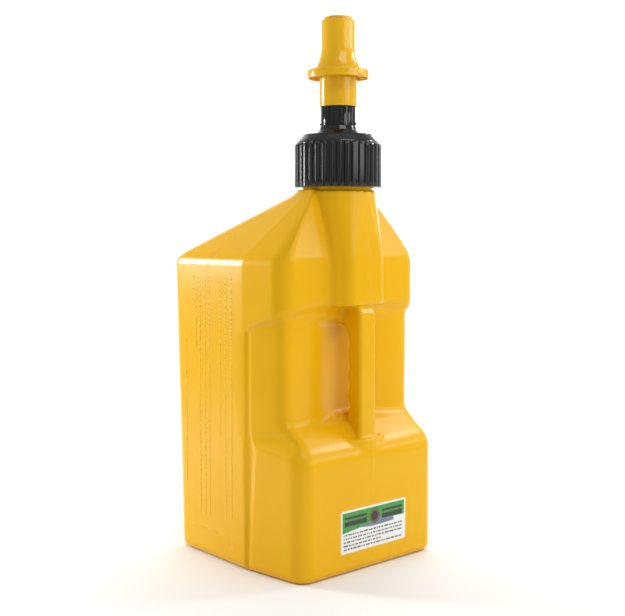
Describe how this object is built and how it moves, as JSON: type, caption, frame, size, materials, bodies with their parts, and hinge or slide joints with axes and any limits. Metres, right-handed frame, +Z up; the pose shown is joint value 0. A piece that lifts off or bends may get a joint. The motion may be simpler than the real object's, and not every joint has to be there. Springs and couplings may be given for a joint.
{
  "type": "fuel jug",
  "caption": "Moulded plastic fuel jug with a built-in hand grip and a ribbed screw collar that holds a spring-loaded quick-fill nozzle with a sliding sleeve.",
  "frame": {"origin": "middle of the footprint's box, on the surface that the jug stands on", "axes": "+Z up along the neck; -Y is the front, with the grip and the lower block; X = 0 is the plane of symmetry"},
  "size_m": [0.245, 0.2703, 0.685],
  "materials": {
    "jug_plastic": "satin blow-moulded polyethylene",
    "yellow_plastic": "smooth injection-moulded plastic",
    "black_plastic": "glossy injection-moulded plastic",
    "rubber": "matte nitrile rubber",
    "steel": "zinc-plated",
    "label_film": "printed vinyl film"
  },
  "bodies": {
    "jug": {"jug_body": "jug_plastic", "front_label": "label_film"},
    "nozzle": {"nozzle_base": "black_plastic", "neck_gasket": "rubber", "stalk_seal": "rubber", "valve_stem": "yellow_plastic", "stem_washer": "steel", "stem_nut": "steel", "tip_seal": "rubber", "return_spring": "steel", "vent_pipe": "black_plastic", "vent_clip": "steel"},
    "collar": {"screw_collar": "black_plastic"},
    "sleeve": {"slide_sleeve": "yellow_plastic", "spring_washer": "steel"}
  },
  "joints": [
    {"name": "collar_turn", "type": "hinge", "parent": "nozzle", "child": "collar", "pos_m": [0, -0.075, 0.5], "axis": [0, 0, 1], "range_deg": [0, 720]},
    {"name": "cap_lift", "type": "slide", "parent": "jug", "child": "nozzle", "axis": [0, 0, 1], "range_m": [0, 0.012]},
    {"name": "sleeve_push", "type": "slide", "parent": "nozzle", "child": "sleeve", "axis": [0, 0, -1], "range_m": [0, 0.018], "stiffness_N_per_m": 1200, "springref_m": -0.02, "deforming": ["return_spring"]}
  ],
  "couplings": [
    {"joint": "cap_lift", "follows": "collar_turn", "m_per_rad": 0.00095493}
  ]
}
